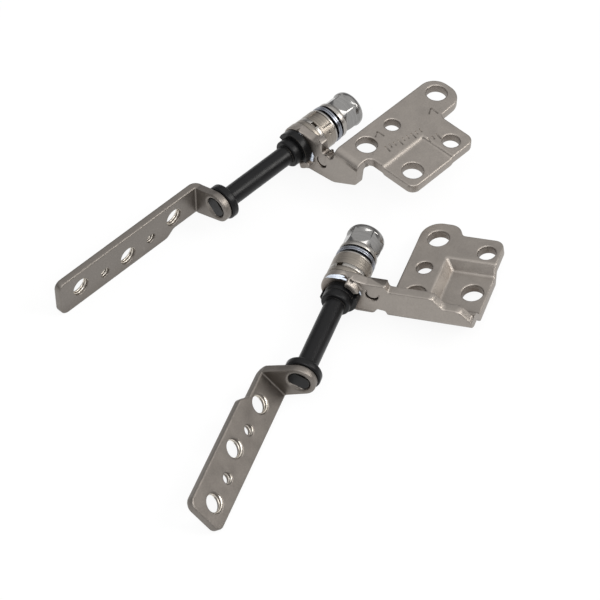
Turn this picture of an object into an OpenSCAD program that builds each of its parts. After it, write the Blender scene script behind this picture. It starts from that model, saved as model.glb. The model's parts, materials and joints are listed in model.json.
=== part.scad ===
// Pair of friction hinges for a folding lid, lying side by side.
// Each hinge: a flanged base bracket, a shaft with a stack of washers and a lock nut,
// and an L-shaped strip bracket that swings with the shaft.
// Local frame of one hinge: +X along the shaft from the strip end to the nut,
// -Y towards the base plate, +Z up. Units are millimetres.

/* [Shaft] */
// Diameter of the shaft
shaft_d = 3.5; // [2.5:0.1:5]
// Distance between the two flats of the shaft
shaft_flats = 2.6; // [1.8:0.1:3.4]
// Diameter of the shoulder behind the strip bracket
collar_d = 6.3; // [5:0.1:8]
// Thickness of that shoulder
collar_t = 1.4; // [0.6:0.1:3]
// Diameter of the hub in front of the stop disc
hub_d = 5; // [4:0.1:7]
// Thickness of the hub
hub_t = 1.6; // [0.8:0.1:3]
// Bare shaft between shoulder and hub
shaft_bare = 14.7; // [8:0.1:40]

/* [Stop] */
// Diameter of the stop disc
stop_d = 6.6; // [5.6:0.1:9]
// Thickness of the stop disc
stop_t = 1.5; // [0.8:0.1:3]
// Angle of the full-size sector of the stop disc
stop_sector = 185; // [120:1:230]
// Angle from tab centre to a face of the tab
tab_half_angle = 22; // [10:1:35]
// Direction of the tab below the line to the base plate
tab_angle = 43; // [20:1:70]
// How far the tab stands out of the arm
tab_h = 1.2; // [0.5:0.1:1.4]
// Radial width of the tab
tab_w = 1.2; // [0.6:0.1:2]

/* [Washer stack] */
// Diameter of the washers
stack_d = 7; // [5.6:0.1:10]
// Thickness of the washer behind the arm
backing_t = 0.93; // [0.4:0.01:2]
// Thickness of the notched ring
ring_t = 0.73; // [0.4:0.01:2]
// Thickness of the stepped washer
stepped_t = 2.5; // [1:0.1:4]
// Thickness of the thin washer
thin_t = 0.4; // [0.2:0.05:1]
// Height of one dished spring washer
spring_h = 0.8; // [0.5:0.05:1.5]
// Sheet thickness of a spring washer
spring_t = 0.36; // [0.2:0.02:0.6]
// Thickness of the pressure washer
pressure_t = 1.1; // [0.5:0.1:2]

/* [Lock nut] */
// Diameter of the nut over its corners
nut_d = 6.7; // [5.5:0.1:9]
// Distance between the nut's flats
nut_flats = 5.9; // [5:0.1:8]
// Length of the nut
nut_len = 4.4; // [3:0.1:7]

/* [Base brackets] */
// Sheet thickness of the base brackets
base_t = 1.8; // [1:0.1:2.5]
// Height of the plate's outer face from the shaft axis
plate_h = 4.75; // [4.3:0.05:7]
// Outside radius of the fold
fold_r = 1.5; // [0.5:0.1:1.7]
// Radius of the arm's head round the shaft
head_r = 3.6; // [3:0.1:5]
// Diameter of the large screw holes
hole_large_d = 3.64; // [2.5:0.02:4]
// Diameter of the middle screw holes
hole_mid_d = 3.06; // [2:0.02:3.6]
// Diameter of the small screw holes
hole_small_d = 2.72; // [1.5:0.02:3.4]
// Depth of the set corner of the left plate
left_pad_drop = 0.3; // [0.1:0.05:1.2]
// Depth of the lowered pad of the right plate
right_pad_drop = 1.8; // [0.5:0.1:2.4]

/* [Strip brackets] */
// Sheet thickness of the strip brackets
strip_t = 1.4; // [0.8:0.1:2]
// Distance from the shaft axis to the inner face of the strip
strip_off = 4.65; // [4:0.05:6]
// Length of the left strip beyond the ear
left_strip_len = 31.6; // [29.5:0.1:60]
// Length of the right strip beyond the ear
right_strip_len = 29.2; // [28:0.1:60]
// Strip edge nearest the shaft axis
strip_near = 1.6; // [1.2:0.1:2.4]
// Strip edge farthest from the shaft axis
strip_far = 5.65; // [5:0.05:8]
// Far edge beside the ear
strip_neck = 4.4; // [3.6:0.1:4.9]
// Radius of the ear's round head
ear_r = 2.8; // [2.5:0.1:3.1]
// Diameter of the threaded strip holes
strip_hole_d = 3.26; // [2:0.02:3.6]
// Diameter of the small strip holes
strip_pin_d = 1.76; // [1:0.02:2.4]

/* [Resting pose] */
// Turn of the left strip about its shaft
left_strip_turn = 1.5; // [-20:0.5:20]
// Turn of the right strip about its shaft
right_strip_turn = 34.35; // [0:0.05:60]
// Roll of the left hinge as it lies
left_roll = -1.9; // [-10:0.1:10]
// Roll of the right hinge as it lies
right_roll = 8.8; // [0:0.1:15]
// Heading of the right hinge from the left one
right_heading = 23.8; // [-45:0.1:45]
// Opening left before the left hinge meets its stop
left_margin = 2.5; // [1:0.5:20]
// Opening left before the right hinge meets its stop
right_margin = 11.5; // [1:0.5:20]

/* [Hidden] */
$fn = 64;
run = 0.04;
key = 0.03;
face_gap = 0.02;
shaft_r = shaft_d / 2;
flat_r = shaft_flats / 2;
hub_r = hub_d / 2;
stop_r = stop_d / 2;
stack_r = stack_d / 2;
nut_r = nut_d / 2;
collar_r = collar_d / 2;

// stations along the shaft
x_ear = strip_t;
x_collar = x_ear + collar_t;
x_hub = x_collar + shaft_bare;
x_stop = x_hub + hub_t;
x_arm = x_stop + stop_t + face_gap;
x_back = x_arm + base_t;
x_ring = x_back + backing_t + face_gap;
x_stepped = x_ring + ring_t;
x_thin = x_stepped + stepped_t;
x_spring = x_thin + thin_t;
x_press = x_spring + 2 * spring_h;
x_nut = x_press + pressure_t;
x_tip = x_nut + nut_len;

// position of the shared frame's origin seen from the left hinge's shaft end
row_x = -0.58;
row_y = -21.52;
left_z = 5.617;
right_x = -17.9;
right_y = -36.8;
right_z = 5.305;

// placing of the two hinges in the shared frame; the right one lies turned over
module at_left() {
  translate([-row_x, -row_y, left_z]) rotate([-left_roll, 0, 0]) children();
}

module at_right() {
  translate([right_x - row_x, right_y - row_y, right_z]) rotate([0, 0, right_heading])
    rotate([-right_roll, 0, 0]) mirror([0, 0, 1]) children();
}

module left_turning() {
  at_left() rotate([-left_strip_turn, 0, 0]) children();
}

module right_turning() {
  at_right() rotate([right_strip_turn, 0, 0]) children();
}

// outline with rounded corners; each corner is [x, y, radius]
function at2(p, i) = let (q = p[(i + len(p)) % len(p)]) [q[0], q[1]];
function unit2(v) = v / norm(v);
function cross2(a, b) = a[0] * b[1] - a[1] * b[0];
function area2(p, i = 0) = i == len(p) ? 0 : cross2(at2(p, i), at2(p, i + 1)) + area2(p, i + 1);
function back_dir(p, i) = unit2(at2(p, i - 1) - at2(p, i));
function next_dir(p, i) = unit2(at2(p, i + 1) - at2(p, i));
function half_open(p, i) = acos(back_dir(p, i) * next_dir(p, i)) / 2;
function run_out(p, i) = p[i][2] / tan(half_open(p, i));
function mid_of(p, i) = at2(p, i) + unit2(back_dir(p, i) + next_dir(p, i)) * p[i][2] / sin(half_open(p, i));
function is_outer(p, i) = cross2(-back_dir(p, i), next_dir(p, i)) * area2(p) > 0;
function cut_corner(p, i) = p[i][2] == 0 ? [at2(p, i)]
  : [at2(p, i) + back_dir(p, i) * run_out(p, i), at2(p, i) + next_dir(p, i) * run_out(p, i)];

module rounded(p) {
  difference() {
    union() {
      polygon([for (i = [0 : len(p) - 1]) each cut_corner(p, i)]);
      for (i = [0 : len(p) - 1]) if (p[i][2] > 0 && is_outer(p, i)) translate(mid_of(p, i)) circle(p[i][2]);
    }
    for (i = [0 : len(p) - 1]) if (p[i][2] > 0 && !is_outer(p, i)) translate(mid_of(p, i)) circle(p[i][2]);
  }
}

// corners given as distance towards the base plate, seen from the shaft's end or from above
function facing(p) = [for (q = p) [-q[0], q[1], q[2]]];
function below(p) = [for (q = p) [q[0], -q[1], q[2]]];

// extrusion along the shaft of an outline seen from its end
module along(x, len) {
  translate([x, 0, 0]) rotate([90, 0, 90]) linear_extrude(len) children();
}

// extrusion towards the base plate of an outline seen from the side
module across(v, len) {
  translate([0, -v, 0]) rotate([90, 0, 0]) linear_extrude(len) children();
}

// body of revolution about the shaft axis; corners are [radius, station]
module turned() {
  rotate([90, 0, 90]) rotate_extrude() children();
}

// round section with two flats
module flatted(r, f) {
  intersection() {
    circle(r);
    square([2 * r + 1, 2 * f], center = true);
  }
}

// washer keyed to the flats of the shaft
module keyed_washer(x, len, r) {
  along(x, len) difference() {
    circle(r);
    flatted(shaft_r + key, flat_r + key);
  }
}

// ring sector seen from the shaft's end; angles run from the base plate side towards the plate
module sector(r_in, r_out, from, sweep) {
  reach = 3 * stack_r;
  difference() {
    intersection() {
      circle(r_out);
      polygon(concat([[0, 0]], [for (k = [0 : 8]) reach * [-cos(from + k * sweep / 8), sin(from + k * sweep / 8)]]));
    }
    circle(r_in);
  }
}

// shaft: riveted end, shoulder, bare length, hub, flatted end under the stack
end_sink = 0.15;
tip_bevel = 0.4;
edge_bevel = 0.2;

module shaft(flat_turn) {
  along(end_sink, x_ear - end_sink + 0.2) rotate(flat_turn) flatted(shaft_r, flat_r);
  turned() polygon([
    [0, x_ear], [collar_r - edge_bevel, x_ear], [collar_r, x_ear + edge_bevel],
    [collar_r, x_collar - edge_bevel], [collar_r - edge_bevel, x_collar],
    [shaft_r, x_collar], [shaft_r, x_hub], [hub_r - edge_bevel, x_hub], [hub_r, x_hub + edge_bevel],
    [hub_r, x_stop], [0, x_stop]
  ]);
  intersection() {
    along(x_stop, x_tip - x_stop - tip_bevel) flatted(shaft_r, flat_r);
    turned() polygon([
      [0, x_stop - 1], [shaft_r + 1, x_stop - 1], [shaft_r + 1, x_tip - 3 * tip_bevel],
      [shaft_r, x_tip - 2 * tip_bevel], [shaft_r - tip_bevel, x_tip - tip_bevel], [0, x_tip - tip_bevel]
    ]);
  }
}

// stop disc: a full sector that runs into the tab, the rest only as large as the hub
module stop_disc(margin) {
  along(x_stop, stop_t) difference() {
    union() {
      circle(hub_r);
      sector(hub_r - 0.5, stop_r, tab_half_angle - tab_angle + margin, stop_sector);
    }
    flatted(shaft_r + key, flat_r + key);
  }
}

// washer stack, from the arm to the nut
notch_w = 1.1;
notch_deep = 0.45;
step_deep = 0.22;
step_from = 52;
step_sweep = 62;
dimple_r = 0.28;
dimple_at = 30;

module backing_washer() {
  along(x_back, backing_t) difference() {
    circle(stack_r);
    circle(shaft_r + run);
  }
}

module notched_ring() {
  difference() {
    keyed_washer(x_ring, ring_t, stack_r);
    for (a = [20, 78, 200, 290])
      rotate([-a, 0, 0]) translate([x_ring - 1, -stack_r - 1, -notch_w / 2]) cube([ring_t + 2, 1 + notch_deep, notch_w]);
  }
}

module stepped_washer() {
  difference() {
    keyed_washer(x_stepped, stepped_t, stack_r);
    along(x_stepped + 0.5, stepped_t) sector(stack_r - step_deep, stack_r + 1, step_from, step_sweep);
    rotate([-dimple_at, 0, 0]) translate([x_stepped + stepped_t / 2, -stack_r + dimple_r, 0])
      rotate([90, 0, 0]) cylinder(r1 = 0, r2 = 2 * dimple_r, h = 2 * dimple_r);
  }
}

module thin_washer() {
  keyed_washer(x_thin, thin_t, stack_r - 0.1);
}

// dished washers back to back, rims together
module spring_washer(x_in, x_out) {
  turned() polygon([
    [shaft_r + key, x_in], [stack_r - 0.05, x_out], [stack_r - 0.05, x_out + spring_t], [shaft_r + key, x_in + spring_t]
  ]);
}

module spring_washer_1() {
  spring_washer(x_spring, x_spring + spring_h - spring_t);
}

module spring_washer_2() {
  spring_washer(x_press - spring_t, x_press - spring_h);
}

module pressure_washer() {
  difference() {
    keyed_washer(x_press, pressure_t, stack_r - 0.15);
    along(x_press + pressure_t - 0.3, 1) difference() {
      circle(stack_r + 1);
      circle(stack_r - 0.4);
    }
  }
}

// lock nut: six flats between a bevelled foot and a round crimped collar
nut_foot = 0.9;
nut_neck = 3.2;

module lock_nut(turn) {
  difference() {
    union() {
      intersection() {
        along(x_nut, nut_neck) rotate(turn) circle(d = nut_flats / cos(30), $fn = 6);
        turned() polygon([
          [0, x_nut], [nut_r - 0.55, x_nut], [nut_r, x_nut + nut_foot], [nut_r, x_tip], [0, x_tip]
        ]);
      }
      turned() rounded([
        [0, x_nut + 2, 0], [nut_flats / 2 - 0.35, x_nut + nut_neck - 0.9, 0],
        [nut_r - 0.05, x_nut + nut_neck - 0.1, 0.3], [nut_r - 0.15, x_tip, 0.95], [0, x_tip, 0]
      ]);
    }
    along(x_nut - 1, nut_len + 2) circle(shaft_r + key);
  }
}

// shared pieces of the base brackets; the plate is always on top here
moon_r = 1.1;
moon_at = 5.4;
moon_deep = 0.9;
inner_r = 0.4;
cut = 1;

// crescent pressed into the arm beside the tab
module crescent(turn) {
  along(x_arm - cut, moon_deep + cut) translate([-moon_at, -0.2]) rotate(turn) difference() {
    circle(moon_r);
    translate([0, 0.5]) circle(moon_r);
  }
}

module tab() {
  along(x_arm - tab_h, tab_h + 0.3)
    sector(hub_r + 0.3, hub_r + 0.3 + tab_w, -tab_angle - tab_half_angle, 2 * tab_half_angle);
}

// cutter that leaves the outside of the fold round
module fold_outside() {
  across(0, 40) difference() {
    translate([x_arm - cut, plate_h - fold_r]) square(fold_r + cut);
    translate([x_arm + fold_r, plate_h - fold_r]) circle(fold_r);
  }
}

// fillet inside the fold
module fold_inside(v, len) {
  across(v, len) difference() {
    translate([x_back - 0.2, plate_h - base_t - inner_r]) square(inner_r + 0.2);
    translate([x_back + inner_r, plate_h - base_t - inner_r]) circle(inner_r);
  }
}

// everything under the face of a plate with one lowered area, then the sheet itself
deep = 8;
wide = 60;

module under_face(drop, v_high, v_low, ends) {
  along(0, wide) polygon([[1, -deep], [1, 0], [-v_high, 0], [-v_low, -drop], [-wide, -drop], [-wide, -deep]]);
  across(0, wide) polygon(concat([[0, -deep]], ends, [[wide, -deep]]));
}

module sheet(drop, v_high, v_low, ends) {
  difference() {
    under_face(drop, v_high, v_low, ends);
    translate([0, 0, -base_t]) under_face(drop, v_high, v_low, ends);
  }
}

module plate_hole(h, d) {
  translate([x_arm + h[0], -h[1], 0]) cylinder(d = d, h = 4 * deep, center = true);
}

module arm_bore() {
  along(x_arm - 2, base_t + 4) circle(shaft_r + run);
}

// left base bracket: a wide plate joined to the arm by a short fold
left_in = 8.1;
left_fold_end = 13.6;
left_wide = 23.7;
left_lobe_u = 25.8;
left_far_u = 19.2;
left_front_u = 3.25;
left_large = [[5.1, 11.2], [22.9, 11.4], [6.4, 20.7]];
left_mid = [16, 20.9];
left_small = [11.7, 11.1];
left_pad_v = 17;
left_pad_u = 13.1;

module left_plate_outline() {
  translate([x_arm, 0]) rounded(below([
    [0, left_in, 0], [left_lobe_u, left_in, 3.1], [left_lobe_u, 15.4, 3.3], [left_far_u, 15.6, 1],
    [left_far_u, left_wide, 1.7], [left_front_u, left_wide, 1.6],
    [left_front_u, left_fold_end, 1.1], [0, left_fold_end, 0]
  ]));
}

module left_arm_outline() {
  circle(head_r);
  rounded(facing([
    [0, head_r, 0], [3, 3.5, 1.5], [4.3, 4.25, 0.4], [5.3, 4.25, 0.4], [5.45, 2.1, 0.5], [7.5, 2.1, 0.6],
    [left_in, 3.1, 0.4], [left_in, plate_h, 0], [left_fold_end, plate_h, 0], [left_fold_end, 0, 1.1],
    [8.4, -3.1, 3], [2.6, -3.95, 1], [1.7, -4.55, 0.3], [0.6, -4.55, 0.4], [-0.2, -3.4, 0]
  ]));
}

module left_base() {
  difference() {
    union() {
      along(x_arm, base_t) left_arm_outline();
      translate([0, 0, plate_h]) intersection() {
        translate([0, 0, -deep / 2]) linear_extrude(deep) left_plate_outline();
        sheet(left_pad_drop, left_pad_v - 0.4, left_pad_v, [
          [0, -left_pad_drop], [x_arm + left_pad_u, -left_pad_drop],
          [x_arm + left_pad_u + 0.4, 0], [wide, 0]
        ]);
      }
      fold_inside(left_in, left_fold_end - left_in);
      tab();
    }
    fold_outside();
    arm_bore();
    crescent(20);
    for (h = left_large) plate_hole(h, hole_large_d);
    plate_hole(left_mid, hole_mid_d);
    plate_hole(left_small, hole_small_d);
  }
}

// right base bracket: the fold runs the whole width, beside a pad pressed out of the plate
right_in = 7.4;
right_wide = 22.3;
right_lobe_u = 21.8;
right_far_u = 19.6;
right_large = [[4.9, 11], [18.1, 10.8], [8.6, 19.6]];
right_mid = [16.4, 19.9];
right_small = [11, 10.6];
right_pad_v = 14.9;
right_pad_u = [4.2, 12.7];
right_ramp = 1.4;

module right_plate_outline() {
  translate([x_arm, 0]) rounded(below([
    [0, right_in, 0], [right_lobe_u, right_in, 3.4], [right_lobe_u, 13.5, 2.4], [right_far_u, 14.7, 0.8],
    [right_far_u, right_wide, 1.7], [0, right_wide, 0]
  ]));
}

module right_arm_outline() {
  circle(head_r);
  rounded(facing([
    [0, -head_r, 0], [2.2, -3.4, 1.5], [4.6, -2.7, 1.5], [8, -2.7, 0.4], [8.3, -1.5, 0.4], [15.8, -1.5, 1.2],
    [17.5, 0.6, 1.2], [20.3, 0.6, 1.5], [right_wide, 2.9, 1.5], [right_wide, plate_h, 0],
    [right_in, plate_h, 0], [right_in, 3.2, 0.4], [5.9, 3, 0.5], [5, 4.4, 0.5], [2, 4.3, 1.5], [0.4, 3.4, 0]
  ]));
}

module right_base() {
  difference() {
    union() {
      along(x_arm, base_t) right_arm_outline();
      translate([0, 0, plate_h]) mirror([0, 0, 1]) intersection() {
        translate([0, 0, -deep / 2]) linear_extrude(deep) right_plate_outline();
        translate([0, 0, base_t]) sheet(right_pad_drop, right_pad_v - right_ramp, right_pad_v, [
          [0, 0], [x_arm + right_pad_u[0] - right_ramp, 0],
          [x_arm + right_pad_u[0], -right_pad_drop], [x_arm + right_pad_u[1], -right_pad_drop],
          [x_arm + right_pad_u[1] + right_ramp, 0], [wide, 0]
        ]);
      }
      fold_inside(right_in, right_wide - right_in);
      tab();
    }
    fold_outside();
    arm_bore();
    crescent(160);
    for (h = right_large) plate_hole(h, hole_large_d);
    plate_hole(right_mid, hole_mid_d);
    plate_hole(right_small, hole_small_d);
  }
}

// strip bracket: a strip beside the shaft folded into an ear riveted on the shaft's end
strip_fold_r = 1.7;
strip_out = strip_off + strip_t;
step_near = 5.4;
step_far = 7;
ear_sink = 0.35;
left_threads = [[-26.9, -1.95], [-16.1, -2.9], [-5.2, -1.8]];
left_pins = [[-21.4, -2.9], [-10.7, -2.75]];
right_threads = [[-25.7, -1.7], [-15.1, -2.7], [-4.9, -2]];
right_pins = [[-20.4, -1.5], [-10.4, -1.8]];

function touch(p, r, turn) = let (a = atan2(p[1], p[0]) + turn * acos(r / norm(p))) r * [cos(a), sin(a)];

module ear_outline() {
  near = [strip_off - 0.25, strip_near];
  far = [strip_off - 0.45, -strip_neck];
  near_touch = touch(near, ear_r, 1);
  far_touch = touch(far, ear_r, -1);
  circle(ear_r);
  rounded([
    [strip_out, strip_near, 0], [near[0], near[1], 0.8], [near_touch[0], near_touch[1], 0],
    [far_touch[0], far_touch[1], 0], [far[0], far[1], 0.8], [strip_out, -strip_neck, 0]
  ]);
}

module strip_outline(len) {
  rounded([
    [strip_t, strip_near, 0], [strip_t, -strip_neck, 0], [-step_near, -strip_neck, 1],
    [-step_far, -strip_far, 1.2], [-len, -strip_far, 1.6], [-len, strip_near, 1.4]
  ]);
}

module strip_hole(h, d) {
  translate([h[0], strip_out + 1, h[1]]) rotate([90, 0, 0]) cylinder(d = d, h = strip_t + 2);
}

module display_bracket(len, threads, pins, flat_turn) {
  difference() {
    union() {
      translate([0, strip_out, 0]) rotate([90, 0, 0]) linear_extrude(strip_t) strip_outline(len);
      along(0, strip_t) ear_outline();
    }
    translate([0, 0, -10]) linear_extrude(20) difference() {
      translate([strip_t - strip_fold_r, strip_out - strip_fold_r]) square(strip_fold_r + cut);
      translate([strip_t - strip_fold_r, strip_out - strip_fold_r]) circle(strip_fold_r);
    }
    along(-1, strip_t + 2) rotate(flat_turn) flatted(shaft_r + key, flat_r + key);
    turned() polygon([[0, -1], [shaft_r + ear_sink + 1, -1], [shaft_r, ear_sink], [0, ear_sink]]);
    for (h = threads) strip_hole(h, strip_hole_d);
    for (h = pins) strip_hole(h, strip_pin_d);
  }
}

left_flats = 45;
right_flats = -60;
left_nut_turn = 10;
right_nut_turn = 20;
satin = [0.55, 0.53, 0.5];
black = [0.16, 0.16, 0.17];
bright = [0.72, 0.71, 0.69];

module left_base_bracket() {
  color(satin) at_left() left_base();
}

module right_base_bracket() {
  color(satin) at_right() right_base();
}

module left_display_bracket() {
  color(satin) left_turning() display_bracket(left_strip_len, left_threads, left_pins, left_flats);
}

module right_display_bracket() {
  color(satin) right_turning() display_bracket(right_strip_len, right_threads, right_pins, right_flats);
}

module left_shaft() {
  color(black) left_turning() shaft(left_flats);
}

module right_shaft() {
  color(black) right_turning() shaft(right_flats);
}

module left_stop_disc() {
  color(black) left_turning() stop_disc(left_margin - left_strip_turn);
}

module right_stop_disc() {
  color(black) right_turning() stop_disc(right_margin + right_strip_turn);
}

module left_backing_washer() {
  color(satin) at_left() backing_washer();
}

module right_backing_washer() {
  color(satin) at_right() backing_washer();
}

module left_notched_ring() {
  color(bright) left_turning() notched_ring();
}

module right_notched_ring() {
  color(bright) right_turning() notched_ring();
}

module left_stepped_washer() {
  color(satin) left_turning() stepped_washer();
}

module right_stepped_washer() {
  color(satin) right_turning() stepped_washer();
}

module left_thin_washer() {
  color(bright) left_turning() thin_washer();
}

module right_thin_washer() {
  color(bright) right_turning() thin_washer();
}

module left_spring_washer_1() {
  color(black) left_turning() spring_washer_1();
}

module right_spring_washer_1() {
  color(black) right_turning() spring_washer_1();
}

module left_spring_washer_2() {
  color(bright) left_turning() spring_washer_2();
}

module right_spring_washer_2() {
  color(bright) right_turning() spring_washer_2();
}

module left_pressure_washer() {
  color(bright) left_turning() pressure_washer();
}

module right_pressure_washer() {
  color(bright) right_turning() pressure_washer();
}

module left_lock_nut() {
  color(bright) left_turning() lock_nut(left_nut_turn);
}

module right_lock_nut() {
  color(bright) right_turning() lock_nut(right_nut_turn);
}

left_base_bracket();
left_display_bracket();
left_shaft();
left_stop_disc();
left_backing_washer();
left_notched_ring();
left_stepped_washer();
left_thin_washer();
left_spring_washer_1();
left_spring_washer_2();
left_pressure_washer();
left_lock_nut();
right_base_bracket();
right_display_bracket();
right_shaft();
right_stop_disc();
right_backing_washer();
right_notched_ring();
right_stepped_washer();
right_thin_washer();
right_spring_washer_1();
right_spring_washer_2();
right_pressure_washer();
right_lock_nut();
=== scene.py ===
"""Finish of a laptop hinge pair: rolled edges, metals, threads, grease and marks, with floor, light and camera."""

import json
import math
import random

import bmesh
import bpy
from bpy.props import FloatProperty, FloatVectorProperty, PointerProperty
from mathutils import Matrix, Vector


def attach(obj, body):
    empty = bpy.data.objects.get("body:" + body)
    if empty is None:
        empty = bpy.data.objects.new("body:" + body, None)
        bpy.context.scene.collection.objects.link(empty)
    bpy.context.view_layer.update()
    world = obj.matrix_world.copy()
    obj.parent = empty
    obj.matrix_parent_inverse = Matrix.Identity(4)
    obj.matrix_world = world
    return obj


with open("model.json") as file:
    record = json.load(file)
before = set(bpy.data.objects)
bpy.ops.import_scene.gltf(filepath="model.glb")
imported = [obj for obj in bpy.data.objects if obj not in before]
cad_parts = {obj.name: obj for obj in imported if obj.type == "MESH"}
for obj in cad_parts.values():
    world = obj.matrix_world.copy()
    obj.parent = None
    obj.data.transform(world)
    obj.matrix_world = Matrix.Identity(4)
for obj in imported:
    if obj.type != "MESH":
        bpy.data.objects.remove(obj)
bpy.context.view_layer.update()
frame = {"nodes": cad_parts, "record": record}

bl_info = {
    "name": "Laptop Hinge Pair",
    "version": (1, 0, 0),
    "blender": (4, 5, 0),
    "location": "View3D > Sidebar > Hinges",
    "description": "Finishes a pair of friction hinges: edges, metals, threads, grease, marks and studio",
    "category": "Object",
}

MM = 0.001
SIDES = ("left", "right")

# Places in millimetres, as Hinge takes them. A strip's holes are given along the shaft and across the strip.
ARM_STATION = 20.62
STRIP_INNER = 4.65
STRIP_HOLE_R = 1.63
STRIP_HOLES = {
    "left": ((-26.9, -1.95), (-16.1, -2.9), (-5.2, -1.8)),
    "right": ((-25.7, -1.7), (-15.1, -2.7), (-4.9, -2.0)),
}
STRIP_PIN_R = 0.88
STRIP_PINS = {
    "left": ((-21.4, -2.9), (-10.7, -2.75)),
    "right": ((-20.4, -1.5), (-10.4, -1.8)),
}
PLATE_FACE = 4.75
THREAD_PITCH = 0.45
THREAD_TURNS = 2.05

# Corners of each arm where cuts run together. They stay sharp, because rolling them makes spikes.
KEEN_SPOTS = {
    "left": ((20.62, 0.0, 3.26), (22.42, -8.2, 2.4), (20.62, -13.6, 2.7), (21.0, -13.6, 3.2),
             (21.7, -13.6, 3.2), (22.5, -13.6, 3.2), (20.62, -13.6, 2.0)),
    "right": ((20.62, 0.0, 3.26), (22.42, -8.2, 2.4), (22.42, -7.14, -2.7), (20.92, -0.89, -3.52),
              (20.92, -1.98, -3.48), (22.42, -7.4, 3.46), (22.22, -22.3, 2.81)),
}

# The camera's place in metres and its turn in degrees, at the photograph's viewing angle
CAMERA_PLACE = (-0.206698, -0.198294, 0.322291)
CAMERA_TURN = (41.5554, 0.273, -46.3536)


def colour(name, description, value):
    return FloatVectorProperty(name=name, description=description, subtype="COLOR",
                               size=3, min=0, max=1, default=value)


def length(name, description, value):
    return FloatProperty(name=name, description=description, unit="LENGTH",
                         precision=6, min=0, default=value)


class HingeFinish(bpy.types.PropertyGroup):
    plate: colour("Plate", "Satin plating on brackets and strips", (0.335, 0.305, 0.276))
    # Colour of the painted shade in corners and holes of the plating
    plate_shade_tint: colour("Plate tint", "Warm tint in corners and holes", (0.066, 0.045, 0.031))
    black: colour("Black oxide", "Blackened shaft, collar, hub and stop disc", (0.006, 0.006, 0.0065))
    washer: colour("Washers", "Bare washers of the friction stack", (0.29, 0.262, 0.228))
    bright: colour("Bright rings", "Polished rings beside the nut", (0.38, 0.362, 0.338))
    spring: colour("Springs", "Blued spring steel", (0.27, 0.285, 0.32))
    nut: colour("Nut", "Polished lock nut", (0.28, 0.275, 0.268))
    grease: colour("Grease", "Thin smears of white grease", (0.66, 0.72, 0.82))
    plate_round: length("Plate edge", "Radius rolled on the sheet edges", 0.26 * MM)
    strip_round: length("Strip edge", "Radius rolled on the strips' edges", 0.22 * MM)
    small_round: length("Ring edge", "Radius on washers, shaft and nut", 0.06 * MM)


class HingeStage(bpy.types.PropertyGroup):
    floor: colour("Floor", "Pale floor", (0.86, 0.86, 0.86))
    key_power: FloatProperty(name="Key", description="Power of the large soft light", unit="POWER", default=2.2)
    side_power: FloatProperty(name="Side", description="Power of the soft side light", unit="POWER", default=1.9)
    sky: FloatProperty(name="Sky", description="Strength of the room light", min=0, default=1.0)
    lens: FloatProperty(name="Lens", description="Focal length in millimetres", unit="CAMERA", default=154.133)


class Hinge:
    """Places on one hinge in millimetres: along its shaft, away from its plate and square to the plate."""

    def __init__(self, side):
        self.side = side
        self.turning = f"{side}_screen_side"
        record = frame["record"]
        joint = next(j for j in record["behaviour"]["joints"] if j["name"] == f"{side}_lid")
        mounts = {m["name"]: m for m in record["mounts"]}
        self.mirrored = side == "right"
        sign = -1 if self.mirrored else 1
        self.along = Vector(joint["axis"]) * sign
        self.origin = Vector(joint["pos_m"]) - self.along * ARM_STATION * MM
        up = Vector(mounts[f"{side}_base_face"]["axis"])
        self.base = self.matrix(up.cross(self.along) * sign, up)
        out = -Vector(mounts[f"{side}_strip_face"]["axis"])
        self.strip = self.matrix(out, self.along.cross(out) * sign)

    def matrix(self, across, up):
        m = Matrix((self.along, across, up)).transposed() * MM
        return Matrix.Translation(self.origin) @ m.to_4x4()

    def node(self, name):
        return frame["nodes"][f"{self.side}_{name}"]


def hinges():
    return [Hinge(side) for side in SIDES]


def piece(name, points, faces, place, mirrored, body, material, smooth=True):
    """One mesh from points in a hinge's millimetres, riding on a body."""
    mesh = bpy.data.meshes.new(name)
    mesh.from_pydata([place @ Vector(p) for p in points], [], faces)
    if mirrored:
        mesh.flip_normals()
    mesh.materials.append(material)
    for face in mesh.polygons:
        face.use_smooth = smooth
    obj = bpy.data.objects.new(name, mesh)
    bpy.context.scene.collection.objects.link(obj)
    if body:
        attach(obj, body)
    return obj


class Net:
    """Adds nodes to a tree and joins them."""

    def __init__(self, tree):
        self.tree = tree

    def add(self, kind, values=None, **settings):
        node = self.tree.nodes.new(kind)
        for key, value in settings.items():
            setattr(node, key, value)
        for key, value in (values or {}).items():
            self.set(node.inputs[key], value)
        return node

    def set(self, socket, value):
        if isinstance(value, bpy.types.NodeSocket):
            self.tree.links.new(value, socket)
        elif hasattr(socket.default_value, "__len__") and len(socket.default_value) == 4 and len(value) == 3:
            socket.default_value = (*value, 1)
        else:
            socket.default_value = value

    def math(self, operation, a, b=0.0, clamp=False):
        return self.add("ShaderNodeMath", {0: a, 1: b}, operation=operation, use_clamp=clamp).outputs[0]

    def vector(self, operation, a, b=(0, 0, 0)):
        return self.add("ShaderNodeVectorMath", {0: a, 1: b}, operation=operation)

    def noise(self, place, scale, detail=2.0, roughness=0.5):
        return self.add("ShaderNodeTexNoise", {"Vector": place, "Scale": scale, "Detail": detail,
                                               "Roughness": roughness}).outputs["Fac"]

    def span(self, value, low, high, to_low=0.0, to_high=1.0, smooth=False):
        return self.add("ShaderNodeMapRange", {"Value": value, "From Min": low, "From Max": high,
                                               "To Min": to_low, "To Max": to_high},
                        interpolation_type="SMOOTHSTEP" if smooth else "LINEAR", clamp=True).outputs["Result"]

    def blend(self, factor, a, b, kind="MIX"):
        node = self.add("ShaderNodeMix", data_type="RGBA", blend_type=kind, clamp_factor=True)
        self.set(node.inputs[0], factor)
        self.set(node.inputs[6], a)
        self.set(node.inputs[7], b)
        return node.outputs[2]

    def group(self, name, **values):
        node = self.tree.nodes.new("ShaderNodeGroup")
        node.node_tree = GROUPS[name]()
        for key, value in values.items():
            self.set(node.inputs[key.replace("_", " ")], value)
        return node.outputs


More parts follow.
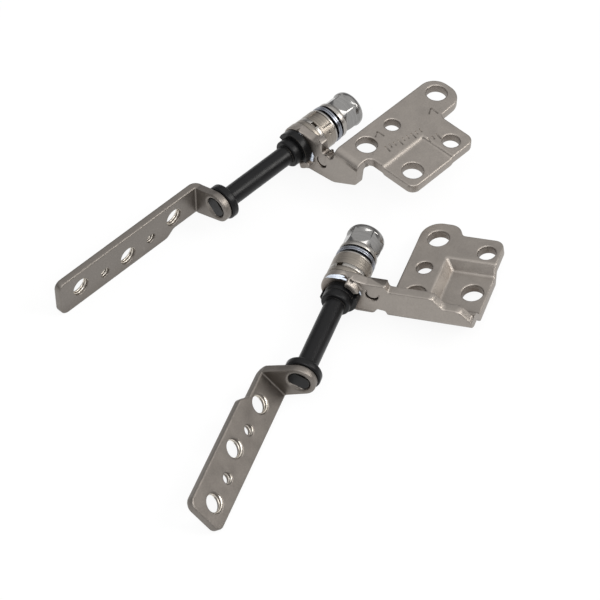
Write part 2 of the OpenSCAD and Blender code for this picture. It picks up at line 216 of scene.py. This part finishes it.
def new_group(name, inputs, outputs):
    tree = bpy.data.node_groups.new(name, "ShaderNodeTree")
    for label, kind, value in inputs:
        socket = tree.interface.new_socket(label, in_out="INPUT", socket_type=kind)
        if value is not None:
            socket.default_value = value
    for label, kind in outputs:
        tree.interface.new_socket(label, in_out="OUTPUT", socket_type=kind)
    net = Net(tree)
    return net, net.add("NodeGroupInput").outputs, net.add("NodeGroupOutput").inputs


def once(build):
    """A node group that is built the first time it is used."""
    name = build.__doc__.split(":")[0]

    def get():
        return bpy.data.node_groups.get(name) or build(name)
    return get


FLOAT, VECTOR = "NodeSocketFloat", "NodeSocketVector"


@once
def plating_grain(name):
    """Plating Grain: fine speckle and broad mottling, as a tone about one and a height"""
    net, given, out = new_group(
        name,
        [("Fine", FLOAT, 5200.0), ("Broad", FLOAT, 260.0), ("Fine Amount", FLOAT, 0.1),
         ("Broad Amount", FLOAT, 0.12)],
        [("Tone", FLOAT), ("Height", FLOAT), ("Broad Mask", FLOAT)])
    place = net.add("ShaderNodeTexCoord").outputs["Object"]
    fine = net.noise(place, given["Fine"], 3.0, 0.6)
    broad = net.noise(place, given["Broad"], 3.0, 0.55)
    fine_part = net.math("MULTIPLY", net.math("SUBTRACT", fine, 0.5), given["Fine Amount"])
    broad_part = net.math("MULTIPLY", net.math("SUBTRACT", broad, 0.5), given["Broad Amount"])
    net.set(out["Tone"], net.math("ADD", net.math("ADD", fine_part, broad_part), 1.0))
    net.set(out["Height"], fine)
    net.set(out["Broad Mask"], broad)
    return net.tree


@once
def edge_wear(name):
    """Edge Wear: where plating is rubbed bright on corners, broken up by a fine noise"""
    net, given, out = new_group(
        name, [("Radius", FLOAT, 0.00012), ("Breakup", FLOAT, 1500.0), ("Amount", FLOAT, 1.0)],
        [("Mask", FLOAT)])
    place = net.add("ShaderNodeTexCoord").outputs["Object"]
    round_normal = net.add("ShaderNodeBevel", {"Radius": given["Radius"]}, samples=4).outputs[0]
    flat_normal = net.add("ShaderNodeNewGeometry").outputs["Normal"]
    bend = net.math("SUBTRACT", 1.0, net.vector("DOT_PRODUCT", round_normal, flat_normal).outputs["Value"])
    edge = net.span(bend, 0.01, 0.14, smooth=True)
    broken = net.span(net.noise(place, given["Breakup"], 3.0, 0.6), 0.38, 0.62)
    worn = net.math("MULTIPLY", edge, net.math("ADD", net.math("MULTIPLY", broken, 0.6), 0.4))
    net.set(out["Mask"], net.math("MULTIPLY", worn, given["Amount"], clamp=True))
    return net.tree


@once
def recess_painted_shade(name):
    """Recess Tint: where oil and brown tarnish stay in holes and inner corners"""
    net, given, out = new_group(
        name, [("Reach", FLOAT, 0.0014), ("Breakup", FLOAT, 700.0)], [("Mask", FLOAT)])
    place = net.add("ShaderNodeTexCoord").outputs["Object"]
    # Painted shade: ambient occlusion marks where nearby surfaces would shade the surface
    open_part = net.add("ShaderNodeAmbientOcclusion", {"Distance": given["Reach"]}, samples=6).outputs["AO"]
    closed = net.span(open_part, 0.85, 0.4, smooth=True)
    broken = net.span(net.noise(place, given["Breakup"], 2.0), 0.3, 0.7, 0.65, 1.0)
    net.set(out["Mask"], net.math("MULTIPLY", closed, broken, clamp=True))
    return net.tree


@once
def turned_rings(name):
    """Turned Rings: fine tool rings about a shaft, along it on a barrel and outward on a face"""
    net, given, out = new_group(
        name,
        [("Axis", VECTOR, None), ("Centre", VECTOR, None), ("Pitch", FLOAT, 0.00012), ("Waver", FLOAT, 0.3)],
        [("Height", FLOAT), ("Tone", FLOAT)])
    place = net.add("ShaderNodeTexCoord").outputs["Object"]
    rel = net.vector("SUBTRACT", place, given["Centre"]).outputs[0]
    along = net.vector("DOT_PRODUCT", rel, given["Axis"]).outputs["Value"]
    on_axis = net.add("ShaderNodeVectorMath", {0: given["Axis"], "Scale": along}, operation="SCALE").outputs[0]
    outward = net.vector("LENGTH", net.vector("SUBTRACT", rel, on_axis).outputs[0]).outputs["Value"]
    travel = net.math("DIVIDE", net.math("ADD", along, outward), given["Pitch"])
    waver = net.math("MULTIPLY", net.noise(place, 900.0, 2.0), given["Waver"])
    phase = net.math("MULTIPLY", net.math("ADD", travel, waver), 2 * math.pi)
    ridge = net.math("MULTIPLY_ADD", net.math("SINE", phase), 0.5)
    ridge.node.inputs[2].default_value = 0.5
    step = net.add("ShaderNodeCombineXYZ", {"X": net.math("MULTIPLY", travel, 0.7)}).outputs[0]
    band = net.noise(step, 1.0, 1.0)
    net.set(out["Height"], net.math("MULTIPLY", ridge, band))
    net.set(out["Tone"], net.span(band, 0.3, 0.7, 0.86, 1.12))
    return net.tree


@once
def handling_scratches(name):
    """Handling Scratches: sparse fine lines in two directions"""
    net, given, out = new_group(
        name, [("Density", FLOAT, 0.5), ("Turn", FLOAT, 0.6)], [("Mask", FLOAT)])
    place = net.add("ShaderNodeTexCoord").outputs["Object"]
    marks = []
    for turn, stretch in ((0.0, (2600.0, 120.0, 120.0)), (1.3, (150.0, 2900.0, 150.0))):
        spin = net.add("ShaderNodeCombineXYZ", {"Z": net.math("ADD", given["Turn"], turn)}).outputs[0]
        laid = net.add("ShaderNodeMapping", {"Vector": place, "Rotation": spin, "Scale": stretch}).outputs[0]
        warp = net.noise(laid, 1.0, 1.0)
        line = net.math("ABSOLUTE", net.math("SUBTRACT", warp, 0.5))
        gate = net.span(net.noise(place, 330.0 + 90 * turn, 1.0), 0.52, 0.66)
        marks.append(net.math("MULTIPLY", net.span(line, 0.012, 0.0), gate))
    net.set(out["Mask"], net.math("MULTIPLY", net.math("MAXIMUM", *marks), given["Density"], clamp=True))
    return net.tree


GROUPS = {
    "grain": plating_grain, "wear": edge_wear, "recess_shade": recess_painted_shade,
    "rings": turned_rings, "scratches": handling_scratches,
}


def material(name):
    made = bpy.data.materials.new(name)
    made.use_nodes = True
    made.node_tree.nodes.clear()
    net = Net(made.node_tree)
    shader = net.add("ShaderNodeBsdfPrincipled")
    net.set(net.add("ShaderNodeOutputMaterial").inputs["Surface"], shader.outputs[0])
    return made, net, shader


def satin_plate(finish, name, base, worn_gain=1.5, shade_amount=0.95):
    """Satin nickel: warm grey, fine grain, broad mottling, bright rubbed edges, brown recesses."""
    made, net, shader = material(name)
    grain = net.group("grain", Fine=3600.0, Broad=420.0, Fine_Amount=0.34, Broad_Amount=0.34)
    wear = net.group("wear", Radius=0.00022, Breakup=1300.0, Amount=0.75)["Mask"]
    # Painted shade: ambient occlusion reaching 5.5 mm finds holes and inner corners
    recess_shade = net.group("recess_shade", Reach=0.0055, Breakup=600.0)["Mask"]
    lines = net.group("scratches", Density=0.6)["Mask"]
    tone = net.add("ShaderNodeCombineColor", {0: grain["Tone"], 1: grain["Tone"], 2: grain["Tone"]}).outputs[0]
    plain = net.blend(1.0, base, tone, "MULTIPLY")
    # Painted shade: the plating is darkened towards the brown shade colour in recesses, by the given amount
    shaded = net.blend(net.math("MULTIPLY", recess_shade, shade_amount), plain, tuple(finish.plate_shade_tint))
    worn = net.blend(net.math("MAXIMUM", wear, net.math("MULTIPLY", lines, 0.4)), shaded,
                     tuple(min(1.0, c * worn_gain) for c in base))
    net.set(shader.inputs["Base Color"], worn)
    net.set(shader.inputs["Metallic"], 1.0)
    rough = net.span(grain["Broad Mask"], 0.3, 0.7, 0.40, 0.50)
    smooth = net.math("SUBTRACT", rough, net.math("MULTIPLY", wear, 0.12))
    net.set(shader.inputs["Roughness"], smooth)
    height = net.math("SUBTRACT", net.math("MULTIPLY", grain["Height"], 1.0), net.math("MULTIPLY", lines, 0.5))
    soft = net.add("ShaderNodeBevel", {"Radius": 0.0003}, samples=6).outputs[0]
    bump = net.add("ShaderNodeBump", {"Strength": 0.3, "Distance": 0.00003, "Height": height, "Normal": soft})
    net.set(shader.inputs["Normal"], bump.outputs[0])
    return made


def blackened(finish, name, hinge):
    """Black oxide on turned steel: oil dark, fine rings, brown and grey where it rubs."""
    made, net, shader = material(name)
    rings = net.group("rings", Axis=tuple(hinge.along), Centre=tuple(hinge.origin), Pitch=0.00016, Waver=0.4)
    grain = net.group("grain", Fine=3000.0, Broad=420.0, Fine_Amount=0.3, Broad_Amount=0.5)
    wear = net.group("wear", Radius=0.0001, Breakup=1800.0, Amount=0.6)["Mask"]
    tone = net.add("ShaderNodeCombineColor", {0: grain["Tone"], 1: grain["Tone"], 2: grain["Tone"]}).outputs[0]
    base = net.blend(1.0, tuple(finish.black), tone, "MULTIPLY")
    net.set(shader.inputs["Base Color"], net.blend(wear, base, (0.20, 0.165, 0.125)))
    shader.inputs["Specular IOR Level"].default_value = 0.2
    net.set(shader.inputs["Roughness"], net.span(grain["Broad Mask"], 0.3, 0.7, 0.28, 0.40))
    bump = net.add("ShaderNodeBump", {"Strength": 0.3, "Distance": 0.00002, "Height": rings["Height"]})
    net.set(shader.inputs["Normal"], bump.outputs[0])
    return made


def ring_steel(name, hinge, base, tint, low, high, pitch=0.00012, depth=0.35):
    """Turned ring: tool rings, warm oil tint in its recesses, rubbed rim."""
    made, net, shader = material(name)
    rings = net.group("rings", Axis=tuple(hinge.along), Centre=tuple(hinge.origin), Pitch=pitch, Waver=0.25)
    grain = net.group("grain", Fine=3600.0, Broad=700.0, Fine_Amount=0.12, Broad_Amount=0.3)
    recess_shade = net.group("recess_shade", Reach=0.0009, Breakup=900.0)["Mask"]
    wear = net.group("wear", Radius=0.00007, Breakup=2400.0, Amount=0.7)["Mask"]
    level = net.math("MULTIPLY", rings["Tone"], grain["Tone"])
    tone = net.add("ShaderNodeCombineColor", {0: level, 1: level, 2: level}).outputs[0]
    plain = net.blend(1.0, base, tone, "MULTIPLY")
    # Painted shade: the ring is darkened towards the tint colour in its recesses and in the gaps between rings
    shaded = net.blend(net.math("MULTIPLY", recess_shade, 0.7), plain, tint)
    net.set(shader.inputs["Base Color"], net.blend(wear, shaded, tuple(min(1.0, c * 1.35) for c in base)))
    net.set(shader.inputs["Metallic"], 1.0)
    net.set(shader.inputs["Roughness"], net.span(grain["Broad Mask"], 0.3, 0.7, low, high))
    bump = net.add("ShaderNodeBump", {"Strength": depth, "Distance": 0.00002, "Height": rings["Height"]})
    net.set(shader.inputs["Normal"], bump.outputs[0])
    return made


def white_grease(finish, name):
    """Lithium grease: pale, soft, slightly blue, with a wet coat."""
    made, net, shader = material(name)
    grain = net.group("grain", Fine=1500.0, Broad=800.0, Fine_Amount=0.1, Broad_Amount=0.3)
    tone = net.add("ShaderNodeCombineColor", {0: grain["Tone"], 1: grain["Tone"], 2: grain["Tone"]}).outputs[0]
    net.set(shader.inputs["Base Color"], net.blend(1.0, tuple(finish.grease), tone, "MULTIPLY"))
    net.set(shader.inputs["Roughness"], net.span(grain["Broad Mask"], 0.3, 0.7, 0.18, 0.4))
    shader.inputs["Coat Weight"].default_value = 0.5
    shader.inputs["Coat Roughness"].default_value = 0.1
    bump = net.add("ShaderNodeBump", {"Strength": 0.4, "Distance": 0.00008, "Height": grain["Height"]})
    net.set(shader.inputs["Normal"], bump.outputs[0])
    return made


def dress(node, made):
    node.data.materials.clear()
    node.data.materials.append(made)


def roll_edges(node, radius, segments=3, angle=32.0, hinge=None, clamp=False):
    """Joins the mesh, merges its flat faces and rolls its edges."""
    weld = node.modifiers.new("Joined corners", "WELD")
    weld.merge_threshold = 0.000001
    flat = node.modifiers.new("Flat faces", "DECIMATE")
    flat.decimate_type = "DISSOLVE"
    flat.angle_limit = math.radians(0.5)
    if hinge:
        corners = node.modifiers.new("Sheet corners", "NODES")
        corners.node_group = choose_edges(hinge, angle)
    roll = node.modifiers.new("Rolled edges", "BEVEL")
    roll.width = radius
    roll.segments = segments
    roll.limit_method = "WEIGHT" if hinge else "ANGLE"
    roll.angle_limit = math.radians(angle)
    roll.use_clamp_overlap = clamp
    roll.loop_slide = False
    even = node.modifiers.new("Even shading", "WEIGHTED_NORMAL")
    even.keep_sharp = False
    even.weight = 60


def choose_edges(hinge, angle=32.0, clear=0.0009):
    """Marks the sheet's corners for rolling, apart from a few keen spots where cuts run together."""
    tree = bpy.data.node_groups.new(f"Sheet corners {hinge.side}", "GeometryNodeTree")
    for way in ("INPUT", "OUTPUT"):
        tree.interface.new_socket("Geometry", in_out=way, socket_type="NodeSocketGeometry")
    net = Net(tree)
    given, out = net.add("NodeGroupInput").outputs, net.add("NodeGroupOutput").inputs
    bend = net.add("GeometryNodeInputMeshEdgeAngle").outputs[0]
    weight = net.math("GREATER_THAN", bend, math.radians(angle))
    place = net.add("GeometryNodeInputPosition").outputs[0]
    for spot in KEEN_SPOTS[hinge.side]:
        away = net.vector("DISTANCE", place, tuple(hinge.base @ Vector(spot))).outputs["Value"]
        weight = net.math("MULTIPLY", weight, net.math("GREATER_THAN", away, clear))
    store = net.add("GeometryNodeStoreNamedAttribute", {"Geometry": given[0], "Name": "bevel_weight_edge"},
                    data_type="FLOAT", domain="EDGE")
    net.set(store.inputs["Value"], weight)
    net.set(out[0], store.outputs[0])
    return tree


class HINGE_OT_brackets(bpy.types.Operator):
    """Plates the base brackets and rolls their sheared edges"""
    bl_idname = "hinge.brackets"
    bl_label = "Base Brackets"

    def execute(self, context):
        finish = context.scene.hinge_finish
        made = satin_plate(finish, "Satin plate", tuple(finish.plate))
        for hinge in hinges():
            node = hinge.node("base_bracket")
            dress(node, made)
            roll_edges(node, finish.plate_round, hinge=hinge)
        return {"FINISHED"}


class HINGE_OT_strips(bpy.types.Operator):
    """Plates the strip brackets and rolls their edges"""
    bl_idname = "hinge.strips"
    bl_label = "Strip Brackets"

    def execute(self, context):
        finish = context.scene.hinge_finish
        # Painted shade: the strips wear the same plating as the plates, darkened to 0.64 of its colour
        shaded_plate_colour = tuple(c * 0.64 for c in finish.plate)
        made = satin_plate(finish, "Satin strip painted darker", shaded_plate_colour, 1.7, 0.35)
        for hinge in hinges():
            node = hinge.node("display_bracket")
            dress(node, made)
            roll_edges(node, finish.strip_round)
        return {"FINISHED"}


class HINGE_OT_shafts(bpy.types.Operator):
    """Blackens the shafts and stop discs"""
    bl_idname = "hinge.shafts"
    bl_label = "Shafts and Stop Discs"

    def execute(self, context):
        finish = context.scene.hinge_finish
        for hinge in hinges():
            made = blackened(finish, f"Black oxide {hinge.side}", hinge)
            for name in ("shaft", "stop_disc"):
                node = hinge.node(name)
                dress(node, made)
                roll_edges(node, finish.small_round, 2)
        return {"FINISHED"}


class HINGE_OT_washers(bpy.types.Operator):
    """Finishes the friction stack: washers, bright rings and dished springs"""
    bl_idname = "hinge.washers"
    bl_label = "Washers and Springs"

    def execute(self, context):
        finish = context.scene.hinge_finish
        # warm is the brown painted shade in the washers' recesses and gaps; the springs take a near-black painted
        # shade
        warm = (0.07, 0.047, 0.03)
        for hinge in hinges():
            side = hinge.side
            plain = ring_steel(f"Washer steel {side}", hinge, tuple(finish.washer), warm, 0.3, 0.46, 0.0002, 0.7)
            bright = ring_steel(f"Bright ring {side}", hinge, tuple(finish.bright), warm, 0.2, 0.34, 0.00014, 0.5)
            spring = ring_steel(f"Spring steel {side}", hinge, tuple(finish.spring), (0.03, 0.03, 0.04),
                                0.16, 0.28, 0.00009, 0.2)
            finishes = {
                "backing_washer": plain, "notched_ring": bright, "stepped_washer": plain,
                "thin_washer": bright, "spring_washer_1": spring, "spring_washer_2": spring,
                "pressure_washer": bright,
            }
            for name, made in finishes.items():
                node = hinge.node(name)
                dress(node, made)
                roll_edges(node, finish.small_round, 2)
        return {"FINISHED"}


class HINGE_OT_nuts(bpy.types.Operator):
    """Polishes the lock nuts"""
    bl_idname = "hinge.nuts"
    bl_label = "Lock Nuts"

    def execute(self, context):
        finish = context.scene.hinge_finish
        for hinge in hinges():
            # The second colour is the nut's painted shade in its recesses
            made = ring_steel(f"Nut steel {hinge.side}", hinge, tuple(finish.nut), (0.2, 0.17, 0.14),
                              0.14, 0.26, 0.0002, 0.12)
            node = hinge.node("lock_nut")
            dress(node, made)
            roll_edges(node, finish.small_round * 1.3, 2, 22.0, clamp=True)
        return {"FINISHED"}


def helix_ridge(centre, turns, pitch, outer, inner, steps=40):
    """Points and faces of one triangular thread ridge round a hole across the strip."""
    points, faces = [], []
    half_wide = 0.46
    count = int(turns * steps) + 1
    for i in range(count):
        angle = 2 * math.pi * i / steps
        depth = pitch * i / steps
        fade = min(1.0, i / 10, (count - 1 - i) / 10)
        crest = outer - (outer - inner) * fade
        for radius, shift in ((outer, -half_wide), (crest, 0.0), (outer, half_wide)):
            points.append((centre[0] + radius * math.cos(angle), centre[2] + depth + shift * pitch,
                           centre[1] + radius * math.sin(angle)))
    for i in range(count - 1):
        a, b = 3 * i, 3 * i + 3
        faces += [(a, a + 1, b + 1, b), (a + 1, a + 2, b + 2, b + 1), (a + 2, a, b, b + 2)]
    faces += [(0, 2, 1), (3 * count - 3, 3 * count - 2, 3 * count - 1)]
    return points, faces


class HINGE_OT_threads(bpy.types.Operator):
    """Lines the screw holes of each strip with thread ridges and its pin holes with finer ones"""
    bl_idname = "hinge.threads"
    bl_label = "Strip Threads"

    def execute(self, context):
        start, sunk = STRIP_INNER + 0.24, 0.03
        for hinge in hinges():
            # The second colour is the threads' painted shade in and around their holes
            made = ring_steel(f"Thread steel {hinge.side}", hinge, (0.85, 0.80, 0.72), (0.55, 0.47, 0.38), 0.22, 0.38)
            points, faces = [], []
            holes = [(hole, STRIP_HOLE_R, 0.2) for hole in STRIP_HOLES[hinge.side]]
            holes += [(hole, STRIP_PIN_R, 0.05) for hole in STRIP_PINS[hinge.side]]
            for (u, q), radius, deep in holes:
                more, rings = helix_ridge((u, q, start), THREAD_TURNS, THREAD_PITCH, radius + sunk, radius - deep)
                faces += [tuple(k + len(points) for k in face) for face in rings]
                points += more
            obj = piece(f"{hinge.side}_strip_threads", points, faces, hinge.strip, hinge.mirrored,
                        hinge.turning, made)
        return {"FINISHED"}


def smear(path, widths, height, seed):
    """A low bead along a path of points, each with its own up direction, with an uneven outline."""
    rng = random.Random(seed)
    points, faces = [], []
    ring = 8
    for i, (spot, side, up) in enumerate(path):
        share = i / (len(path) - 1)
        taper = math.sin(math.pi * min(1, max(0, share))) ** 0.5 + 0.02
        wide = widths * taper * rng.uniform(0.7, 1.25)
        tall = height * taper * rng.uniform(0.6, 1.3)
        for k in range(ring):
            angle = 2 * math.pi * k / ring
            lift = max(-0.25, math.sin(angle))
            points.append(tuple(Vector(spot) + Vector(side) * wide * math.cos(angle) + Vector(up) * tall * lift))
    for i in range(len(path) - 1):
        for k in range(ring):
            a, b = i * ring + k, i * ring + (k + 1) % ring
            faces.append((a, b, b + ring, a + ring))
    faces.append(tuple(reversed(range(ring))))
    faces.append(tuple(range(len(path) * ring - ring, len(path) * ring)))
    return points, faces


def arc_path(station, radius, start, end, count, face=1.0):
    """Points round the shaft on a face square to it: side is outward, up is along the shaft."""
    path = []
    for i in range(count):
        angle = math.radians(start + (end - start) * i / (count - 1))
        out = (0, math.cos(angle), math.sin(angle))
        path.append(((station, radius * out[1], radius * out[2]), out, (face, 0, 0)))
    return path


def rim_path(station, radius, start, end, count):
    """Points round the rim of the arm's head: side is along the shaft, up is outward."""
    path = []
    for i in range(count):
        angle = math.radians(start + (end - start) * i / (count - 1))
        out = (0, math.cos(angle), math.sin(angle))
        path.append(((station, radius * out[1], radius * out[2]), (1, 0, 0), out))
    return path


class HINGE_OT_grease(bpy.types.Operator):
    """Leaves thin smears of white grease beside the stop discs"""
    bl_idname = "hinge.grease"
    bl_label = "Grease"

    def execute(self, context):
        made = white_grease(context.scene.hinge_finish, "White grease")
        arm = ARM_STATION
        # Name, path, width, height and seed of each smear
        smears = {
            "left": (
                ("tab_smear", arc_path(arm, 3.35, 168, 248, 12, -1.0), 0.5, 0.36, 3),
                ("rim_smear", arc_path(arm, 3.0, 60, 118, 8, -1.0), 0.3, 0.22, 5),
            ),
            "right": (
                ("tab_smear", arc_path(arm, 3.5, 176, 304, 19, -1.0), 0.16, 0.42, 7),
                ("rim_smear", rim_path(arm + 0.3, 3.57, 236, 318, 11), 0.3, 0.13, 11),
            ),
        }
        for hinge in hinges():
            for name, path, wide, tall, seed in smears[hinge.side]:
                points, faces = smear(path, wide, tall, seed)
                obj = piece(f"{hinge.side}_{name}", points, faces, hinge.base, hinge.mirrored, "bases", made)
                soft = obj.modifiers.new("Soft", "SUBSURF")
                soft.levels = soft.render_levels = 2
        return {"FINISHED"}


def stroke(start, end, width, depth, face):
    """A shallow wedge cut between two points of the plate's face."""
    a, b = Vector((*start, 0)), Vector((*end, 0))
    run = (b - a).normalized()
    side = Vector((-run.y, run.x, 0)) * width / 2
    tall = 0.3
    points = []
    for end_point in (a, b):
        for offset, level in ((side * 2, face + depth), (Vector((0, 0, 0)), face - depth), (-side * 2, face + depth)):
            spot = end_point + offset
            points.append((spot.x, -spot.y, level))
        points.append((end_point.x, -end_point.y, face + tall))
    faces = [(0, 1, 5, 4), (1, 2, 6, 5), (2, 3, 7, 6), (3, 0, 4, 7), (3, 2, 1, 0), (4, 5, 6, 7)]
    return points, faces


class HINGE_OT_marks(bpy.types.Operator):
    """Presses two arrow marks and two plain rows of ticks into the left plate"""
    bl_idname = "hinge.marks"
    bl_label = "Plate Marks"

    def execute(self, context):
        hinge = Hinge("left")
        # Both ends of each stroke of the two arrows, then each row of ticks by its first and last place and its count
        strokes = [
            ((40.1, 13.2), (39.9, 15.0)), ((40.1, 13.2), (38.6, 14.0)),
            ((29.3, 10.4), (29.3, 12.0)), ((29.3, 10.4), (28.0, 11.1)),
        ]
        rows = (((27.6, 13.7), (34.9, 15.1), 9), ((28.0, 17.0), (36.0, 17.9), 10))
        for first, last, count in rows:
            for i in range(count):
                share = i / (count - 1)
                u = first[0] + (last[0] - first[0]) * share
                v = first[1] + (last[1] - first[1]) * share
                tall = 1.5 if i % 3 == 0 else 0.9
                strokes.append(((u, v), (u - 0.25, v + tall)))
        cutter = bmesh.new()
        for start, end in strokes:
            points, faces = stroke(start, end, 0.34, 0.2, PLATE_FACE)
            corners = [cutter.verts.new(hinge.base @ Vector(p)) for p in points]
            for face in faces:
                cutter.faces.new([corners[k] for k in face])
        bmesh.ops.recalc_face_normals(cutter, faces=cutter.faces)
        mesh = bpy.data.meshes.new("plate_mark_cutter")
        cutter.to_mesh(mesh)
        cutter.free()
        tool = bpy.data.objects.new("plate_mark_cutter", mesh)
        context.scene.collection.objects.link(tool)
        tool.hide_render = tool.hide_viewport = True
        node = hinge.node("base_bracket")
        cut = node.modifiers.new("Pressed marks", "BOOLEAN")
        cut.object = tool
        cut.operation = "DIFFERENCE"
        cut.solver = "EXACT"
        cut.use_self = True
        node.modifiers.move(node.modifiers.find("Pressed marks"), node.modifiers.find("Even shading"))
        return {"FINISHED"}


def area_light(name, spot, aim, size, power, tint=(1, 1, 1)):
    """A soft rectangular lamp at a spot, turned towards an aim."""
    lamp = bpy.data.lights.new(name, "AREA")
    lamp.shape = "RECTANGLE"
    lamp.size, lamp.size_y = size
    lamp.energy = power
    lamp.color = tint
    obj = bpy.data.objects.new(name, lamp)
    obj.location = spot
    obj.rotation_euler = (Vector(aim) - Vector(spot)).to_track_quat("-Z", "Y").to_euler()
    bpy.context.scene.collection.objects.link(obj)
    return obj


class HINGE_OT_studio(bpy.types.Operator):
    """Lays the pale floor, hangs the soft lights, lights the room and sets the camera"""
    bl_idname = "hinge.studio"
    bl_label = "Studio"

    def execute(self, context):
        scene, stage = context.scene, context.scene.hinge_stage
        mesh = bpy.data.meshes.new("floor")
        reach = 3.0
        mesh.from_pydata([(-reach, -reach, 0), (reach, -reach, 0), (reach, reach, 0), (-reach, reach, 0)], [],
                         [(0, 1, 2, 3)])
        floor = bpy.data.objects.new("floor", mesh)
        scene.collection.objects.link(floor)
        made, net, shader = material("Pale floor")
        grain = net.group("grain", Fine=900.0, Broad=30.0, Fine_Amount=0.01, Broad_Amount=0.01)
        tone = net.add("ShaderNodeCombineColor", {0: grain["Tone"], 1: grain["Tone"], 2: grain["Tone"]}).outputs[0]
        net.set(shader.inputs["Base Color"], net.blend(1.0, tuple(stage.floor), tone, "MULTIPLY"))
        shader.inputs["Roughness"].default_value = 0.9
        path = net.add("ShaderNodeLightPath").outputs
        seen = net.math("MAXIMUM", path["Is Camera Ray"], net.math("MAXIMUM", path["Is Glossy Ray"],
                                                                  path["Is Transmission Ray"]))
        glow = net.add("ShaderNodeEmission", {"Color": (1, 1, 1), "Strength": 1.0}).outputs[0]
        share = net.math("MULTIPLY", seen, 0.9)
        both = net.add("ShaderNodeMixShader", {0: share, 1: shader.outputs[0], 2: glow}).outputs[0]
        end = next(n for n in made.node_tree.nodes if n.type == "OUTPUT_MATERIAL")
        net.set(end.inputs["Surface"], both)
        mesh.materials.append(made)

        world = bpy.data.worlds.new("Room")
        scene.world = world
        world.use_nodes = True
        world.node_tree.nodes.clear()
        net = Net(world.node_tree)
        rise = net.add("ShaderNodeSeparateXYZ", {0: net.add("ShaderNodeTexCoord").outputs["Generated"]}).outputs["Z"]
        low = net.span(rise, 0.03, 0.3, smooth=True)
        high = net.span(rise, 0.45, 0.75, smooth=True)
        tint = net.blend(low, (0.62, 0.61, 0.60), (0.30, 0.30, 0.31))
        tint = net.blend(high, tint, (1.0, 1.0, 1.0))
        room = net.add("ShaderNodeBackground", {"Color": tint, "Strength": stage.sky}).outputs[0]
        net.set(net.add("ShaderNodeOutputWorld").inputs["Surface"], room)

        area_light("Key", (-0.30, -0.30, 0.55), (0, 0, 0), (0.45, 0.45), stage.key_power)
        area_light("Side", (0.31, -0.37, 0.41), (0, 0, 0.005), (0.3, 0.3), stage.side_power, (1.0, 0.98, 0.95))

        lens = bpy.data.cameras.new("Camera")
        lens.lens = stage.lens
        lens.sensor_width = 36.0
        lens.clip_start, lens.clip_end = 0.01, 20.0
        camera = bpy.data.objects.new("Camera", lens)
        camera.location = CAMERA_PLACE
        camera.rotation_euler = [math.radians(turn) for turn in CAMERA_TURN]
        scene.collection.objects.link(camera)
        scene.camera = camera
        scene.view_settings.view_transform = "Standard"
        return {"FINISHED"}


STEPS = (
    HINGE_OT_brackets, HINGE_OT_strips, HINGE_OT_shafts, HINGE_OT_washers, HINGE_OT_nuts,
    HINGE_OT_threads, HINGE_OT_grease, HINGE_OT_marks, HINGE_OT_studio,
)


class HINGE_PT_pair(bpy.types.Panel):
    """Lists the steps and the finish values of the hinge pair"""
    bl_label = "Hinge Pair"
    bl_space_type = "VIEW_3D"
    bl_region_type = "UI"
    bl_category = "Hinges"

    def draw(self, context):
        column = self.layout.column()
        for step in STEPS:
            column.operator(step.bl_idname)
        for group in (context.scene.hinge_finish, context.scene.hinge_stage):
            for name in group.__annotations__:
                column.prop(group, name)


CLASSES = (HingeFinish, HingeStage, *STEPS, HINGE_PT_pair)


def register():
    for cls in CLASSES:
        bpy.utils.register_class(cls)
    bpy.types.Scene.hinge_finish = PointerProperty(type=HingeFinish)
    bpy.types.Scene.hinge_stage = PointerProperty(type=HingeStage)


def unregister():
    del bpy.types.Scene.hinge_stage
    del bpy.types.Scene.hinge_finish
    for cls in reversed(CLASSES):
        bpy.utils.unregister_class(cls)


def main():
    register()
    bpy.ops.hinge.brackets()
    bpy.ops.hinge.strips()
    bpy.ops.hinge.shafts()
    bpy.ops.hinge.washers()
    bpy.ops.hinge.nuts()
    bpy.ops.hinge.threads()
    bpy.ops.hinge.grease()
    bpy.ops.hinge.marks()
    bpy.ops.hinge.studio()


if __name__ == "__main__":
    main()
